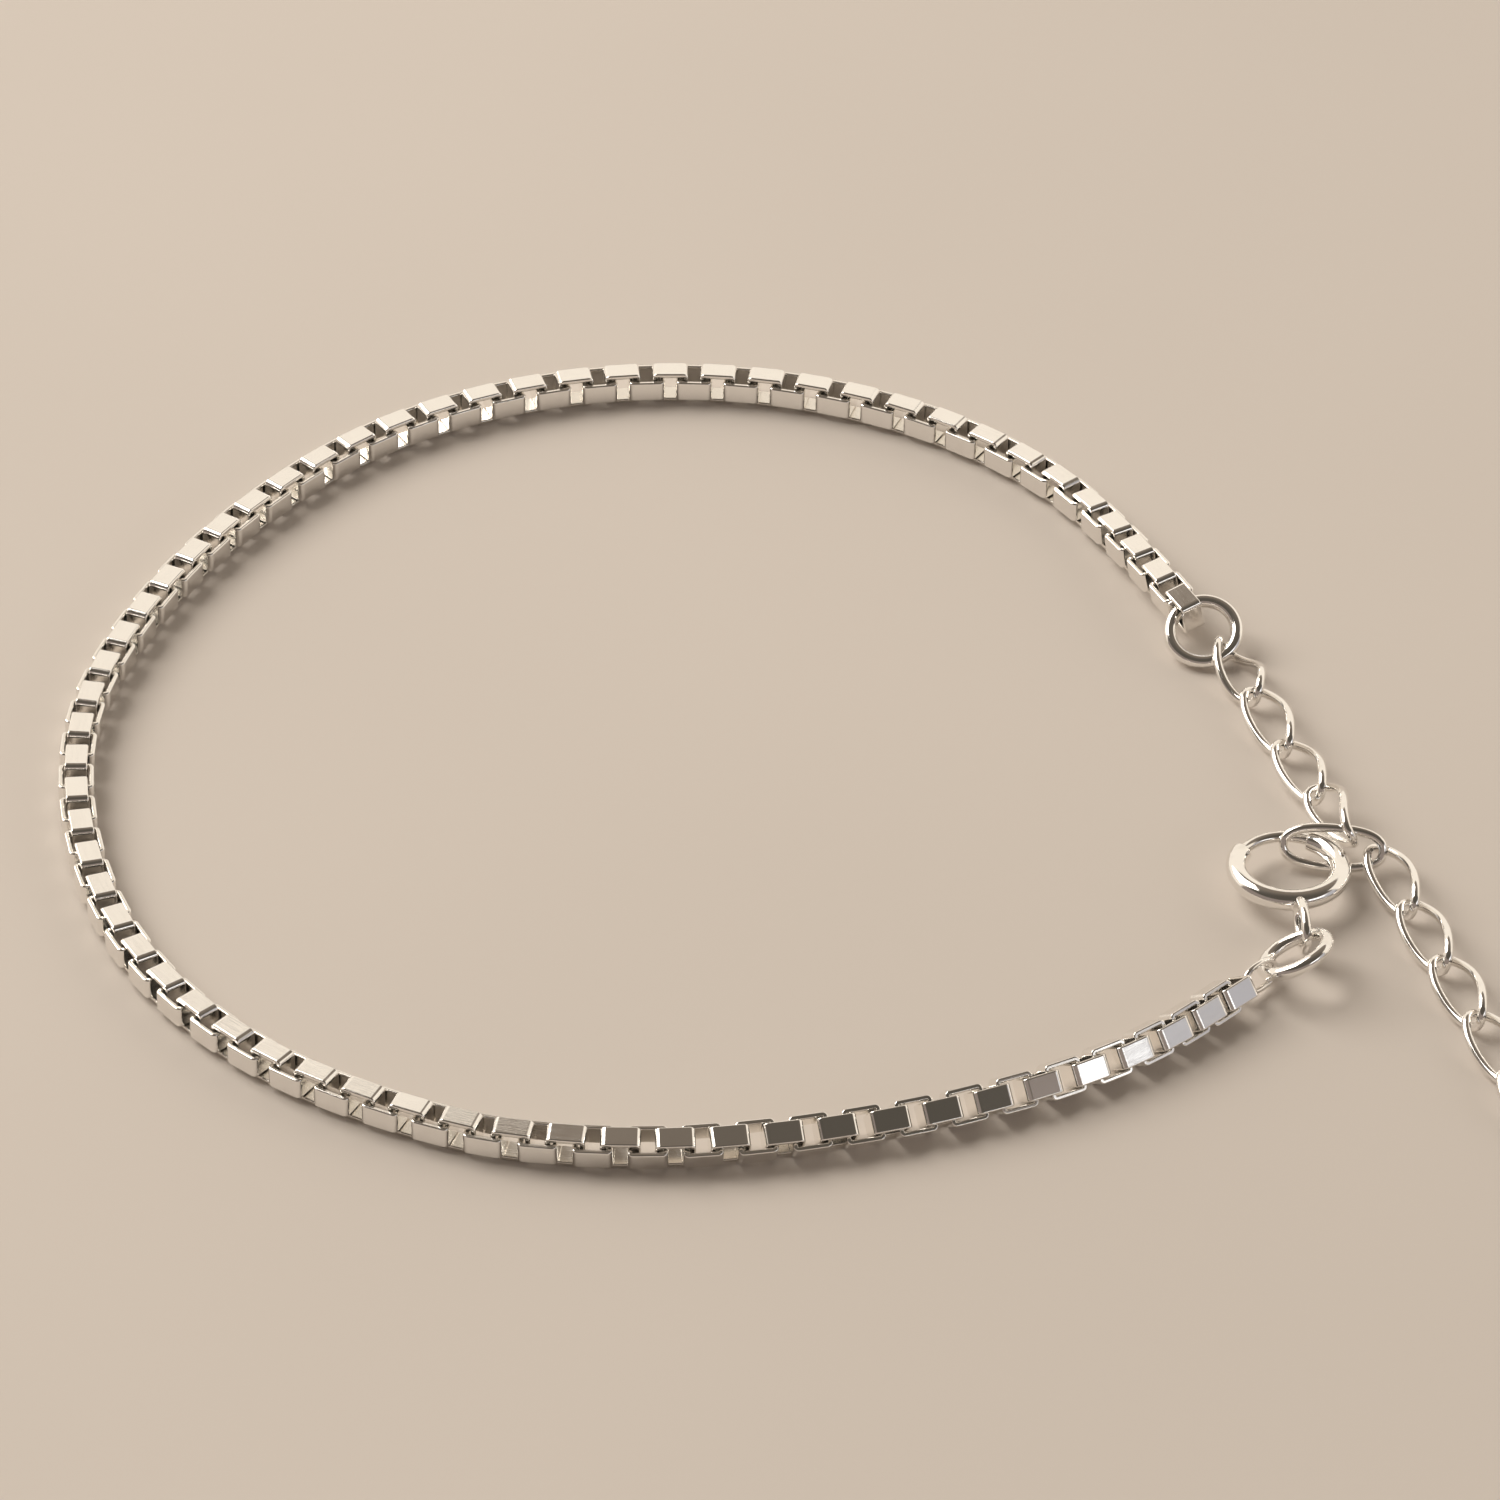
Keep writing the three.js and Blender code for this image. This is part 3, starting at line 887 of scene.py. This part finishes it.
def clasp_tab(skin, settings, place):
    """The upright loop and its bead of solder on the ring's tube, without normals, as the tube is."""
    wire = settings.tab_wire
    line = oval_line(settings.tab_length - wire, settings.tab_height - wire, squareness=1.0)
    out = (settings.outer + settings.tab_length) / 2 - settings.tab_sink
    turn = Matrix.Rotation(settings.tab_at, 4, "Z")
    stand = Matrix.Translation((out, 0.0, 0.0)) @ Matrix.Rotation(math.pi / 2, 4, "X")
    tab = Skin()
    wire_loop(tab, line, wire / 2, place @ turn @ stand)
    bead(tab, place @ turn @ Matrix.Translation((settings.outer / 2, 0.0, 0.0)), TAB_SOLDER)
    skin.add(tab.points, tab.faces)


class BRACELET_OT_bolt_ring(bpy.types.Operator):
    """Build the bolt ring's hollow tube with its mouth, its slot and its tab"""

    bl_idname = "bracelet.bolt_ring"
    bl_label = "Bolt ring"

    def execute(self, context):
        settings = context.scene.bracelet_rings
        place = clasp_place(settings)
        skin = Skin()
        clasp_tube(skin, settings, place)
        clasp_tab(skin, settings, place)
        piece = skin.build("bolt_ring_tube", polished_silver(), sharp=math.radians(40))
        seated(piece, "bolt_ring", "bracelet", slack=0.0003)
        return {"FINISHED"}


def rounded_bar(skin, line, sizes, place, columns, squareness):
    """A bar along a level line, with a section size at each point, closed at both ends."""
    points = []
    count = len(line)
    for i, (centre, size) in enumerate(zip(line, sizes)):
        tangent = (line[min(i + 1, count - 1)] - line[max(i - 1, 0)]).normalized()
        side = (UP - tangent * UP.dot(tangent)).normalized()
        other = tangent.cross(side)
        for c in range(columns):
            a = 2 * math.pi * (c + 0.5) / columns
            x, y = bent(math.cos(a), squareness), bent(math.sin(a), squareness)
            points.append(place @ (centre + (side * x + other * y) * size))
    faces = grid_faces(count, columns, False)
    faces += [tuple(reversed(range(columns))), tuple(range((count - 1) * columns, count * columns))]
    skin.add(points, faces)


def domed(count, size, reach):
    """Lengths and section sizes of a rod's rounded end, from its tip inwards."""
    found = []
    for i in range(count):
        a = math.pi / 2 * (i + 0.35) / count
        found.append((reach * (1 - math.cos(a)), size * math.sin(a)))
    return found


class BRACELET_OT_bolt(bpy.types.Operator):
    """Build the sliding bolt and its trigger"""

    bl_idname = "bracelet.bolt"
    bl_label = "Bolt"

    def execute(self, context):
        settings = context.scene.bracelet_rings
        place = clasp_place(settings)
        ring = (settings.outer - settings.tube) / 2
        size = settings.bolt / 2
        tip = domed(5, size, reach=size * 0.6)
        span = ring * (settings.bolt_to - settings.bolt_from)
        straight_from = tip[-1][0] + 0.02 * MM
        steps = 56
        runs = list(tip)
        for i in range(steps + 1):
            runs.append((straight_from + (span - 2 * straight_from) * i / steps, size))
        runs += [(span - reach, across) for reach, across in reversed(tip)]
        line = [on_ring(ring, settings.bolt_from + reach / ring, 0.0, 0.0) for reach, _ in runs]
        skin = Skin()
        rounded_bar(skin, line, [across for _, across in runs], place, columns=24, squareness=1.0)
        reach = settings.tube / 2 + settings.trigger_reach
        at, drop = settings.trigger_at, -settings.slot_drop
        out = [on_ring(ring, at, reach * share, drop) for share, _ in TRIGGER_SHAPE]
        widths = [settings.trigger_width / 2 * share for _, share in TRIGGER_SHAPE]
        rounded_bar(skin, out, widths, place, columns=20, squareness=0.6)
        piece = skin.build("bolt_rod", polished_silver(), sharp=math.radians(50))
        seated(piece, "bolt", "bolt", slack=0.0003)
        return {"FINISHED"}


# ---------------------------------------------------------------- extender

def extender_link(number, centre, along, settings, lean, twist):
    """One oval link of round wire."""
    size = settings.pitch + settings.wire + settings.play
    line = oval_line(size, settings.width - settings.wire, settings.squareness, twist)
    place = Matrix.Translation(centre) @ turned_to(along) @ Matrix.Rotation(lean, 4, "X")
    skin = Skin()
    wire_loop(skin, line, settings.wire / 2, place)
    node = f"extender_link_{number:02d}"
    piece = skin.build(f"{node}_wire", polished_silver())
    seated(piece, node, "bracelet", slack=0.0003)


class BRACELET_OT_extender(bpy.types.Operator):
    """Build the ten oval links of the extender chain"""

    bl_idname = "bracelet.extender"
    bl_label = "Extender chain"

    def execute(self, context):
        settings = context.scene.bracelet_extender
        usual = (settings.lean, settings.twist)
        first = (settings.first_lean, settings.first_twist)
        last = (settings.last_lean, settings.last_twist)
        knots = [Vector(knot) for knot in EXTENDER_KNOTS]
        turns = [first, usual, usual, last]
        for i, (a, b) in enumerate(zip(knots, knots[1:])):
            extender_link(i + 1, (a + b) / 2, b - a, settings, *turns[i])
        heading = settings.held_heading
        along = Vector((math.cos(heading), math.sin(heading), 0.0))
        held = len(EXTENDER_KNOTS)
        extender_link(held, Vector(HELD_LINK), along, settings, settings.held_lean, 0.0)
        knots = [Vector(knot) for knot in TAIL_KNOTS]
        for i, (a, b) in enumerate(zip(knots, knots[1:])):
            extender_link(held + 1 + i, (a + b) / 2, b - a, settings, *usual)
        return {"FINISHED"}


# ---------------------------------------------------------------- stage

def surface_material(settings):
    """A plain pale surface with a barely seen unevenness."""
    material = new_material("pale_surface")
    finish = Finish(material.node_tree)
    place = finish.node("ShaderNodeTexCoord").outputs["Object"]
    cloud = finish.noise(place, scale=16.0).between(0.3, 0.7)
    darker = tuple(channel * 0.97 for channel in settings.surface)
    shade = finish.mix(cloud, settings.surface, darker)
    shader = finish.node("ShaderNodeBsdfPrincipled", None, {
        "Base Color": shade, "Roughness": 0.85, "Specular IOR Level": 0.15,
    })
    finish.node("ShaderNodeOutputMaterial", None, {"Surface": shader.outputs["BSDF"]})
    return material


def studio_world(settings):
    """Soft light from all round: a pale wall, a darker room above it and a brighter window side."""
    world = bpy.data.worlds.new("soft_studio")
    world.use_nodes = True
    finish = Finish(world.node_tree)
    way = finish.node("ShaderNodeTexCoord").outputs["Generated"]
    parts = finish.node("ShaderNodeSeparateXYZ", None, {"Vector": way})
    right, far, up = (Value(finish, parts.outputs[name]) for name in "XYZ")
    near = far * -1.0
    down = up * -1.0
    near_half = near.between(*NEAR_HALF)
    shade = finish.mix(near.between(*CEILING_NEAR), settings.room, settings.ceiling)
    wall = down.between(*WALL_TOP_DOWN) * (1.0 - near.between(*WALL_NEAR))
    shade = finish.mix(wall, shade, settings.wall)
    shade = finish.mix(near_half * down.between(*NEAR_SIDE_DOWN), shade, settings.near_side)
    window_side = near_half * right.between(*WINDOW_RIGHT) * down.between(*WINDOW_TOP_DOWN)
    pane = window_side * (1.0 - down.between(*WINDOW_FOOT_DOWN))
    shade = finish.mix(pane, shade, (settings.window,) * 3)
    shade = finish.mix(window_side * right.between(*SKY_RIGHT), shade, settings.sky)
    light = finish.node("ShaderNodeBackground", None, {"Color": shade, "Strength": 1.0})
    finish.node("ShaderNodeOutputWorld", None, {"Surface": light.outputs["Background"]})
    return world


def add_softbox(scene, settings):
    """A plain square softbox that faces the middle of the surface."""
    data = bpy.data.lights.new("back_softbox", "AREA")
    data.shape = "SQUARE"
    data.size = settings.softbox_size
    data.energy = settings.softbox_power
    data.color = settings.softbox_colour
    lamp = bpy.data.objects.new("back_softbox", data)
    lamp.location = settings.softbox
    lamp.rotation_euler = (-Vector(settings.softbox)).to_track_quat("-Z", "Y").to_euler()
    scene.collection.objects.link(lamp)


def add_camera(scene, settings):
    """The camera, which looks along +Y and down, a little turned about its own line."""
    data = bpy.data.cameras.new("camera")
    data.lens = settings.lens
    data.sensor_width = 36.0
    data.clip_start = 0.01
    data.clip_end = 20.0
    tilt, roll = settings.camera_tilt, settings.camera_roll
    ahead = Vector((0.0, math.cos(tilt), -math.sin(tilt)))
    level, over = Vector((1.0, 0.0, 0.0)), Vector((0.0, math.sin(tilt), math.cos(tilt)))
    right = level * math.cos(roll) + over * math.sin(roll)
    up = over * math.cos(roll) - level * math.sin(roll)
    camera = bpy.data.objects.new("camera", data)
    turn = Matrix((right, up, -ahead)).transposed().to_4x4()
    camera.matrix_world = Matrix.Translation(settings.camera) @ turn
    scene.collection.objects.link(camera)
    scene.camera = camera


class BRACELET_OT_stage(bpy.types.Operator):
    """Build the surface, the light and the camera"""

    bl_idname = "bracelet.stage"
    bl_label = "Stage"

    def execute(self, context):
        settings = context.scene.bracelet_stage
        half = settings.surface_size / 2
        corners = [Vector((half * x, half * y, 0.0)) for x, y in ((-1, -1), (1, -1), (1, 1), (-1, 1))]
        skin = Skin()
        skin.add(corners, [(0, 1, 2, 3)])
        skin.build("surface", surface_material(settings))
        context.scene.world = studio_world(settings)
        add_softbox(context.scene, settings)
        add_camera(context.scene, settings)
        context.scene.view_settings.view_transform = "Standard"
        return {"FINISHED"}


# ---------------------------------------------------------------- add-on

OPERATORS = (
    BRACELET_OT_stage,
    BRACELET_OT_box_chain,
    BRACELET_OT_end_links,
    BRACELET_OT_jump_rings,
    BRACELET_OT_bolt_ring,
    BRACELET_OT_bolt,
    BRACELET_OT_extender,
)

SETTINGS = {
    "bracelet_chain": BraceletChainSettings,
    "bracelet_rings": BraceletRingSettings,
    "bracelet_extender": BraceletExtenderSettings,
    "bracelet_finish": BraceletFinishSettings,
    "bracelet_stage": BraceletStageSettings,
}


class BRACELET_PT_sidebar(bpy.types.Panel):
    """The bracelet's pieces and settings"""

    bl_idname = "BRACELET_PT_sidebar"
    bl_label = "Box-chain bracelet"
    bl_space_type = "VIEW_3D"
    bl_region_type = "UI"
    bl_category = "Bracelet"

    def draw(self, context):
        for operator in OPERATORS:
            self.layout.operator(operator.bl_idname)
        for name, group in SETTINGS.items():
            box = self.layout.box()
            box.label(text=group.__doc__)
            for field in group.__annotations__:
                box.prop(getattr(context.scene, name), field)


CLASSES = (*SETTINGS.values(), *OPERATORS, BRACELET_PT_sidebar)


def register():
    for item in CLASSES:
        bpy.utils.register_class(item)
    for name, group in SETTINGS.items():
        setattr(bpy.types.Scene, name, PointerProperty(type=group))


def unregister():
    for name in SETTINGS:
        delattr(bpy.types.Scene, name)
    for item in reversed(CLASSES):
        bpy.utils.unregister_class(item)


def main():
    register()
    for operator in OPERATORS:
        group, name = operator.bl_idname.split(".")
        getattr(getattr(bpy.ops, group), name)()


if __name__ == "__main__":
    main()
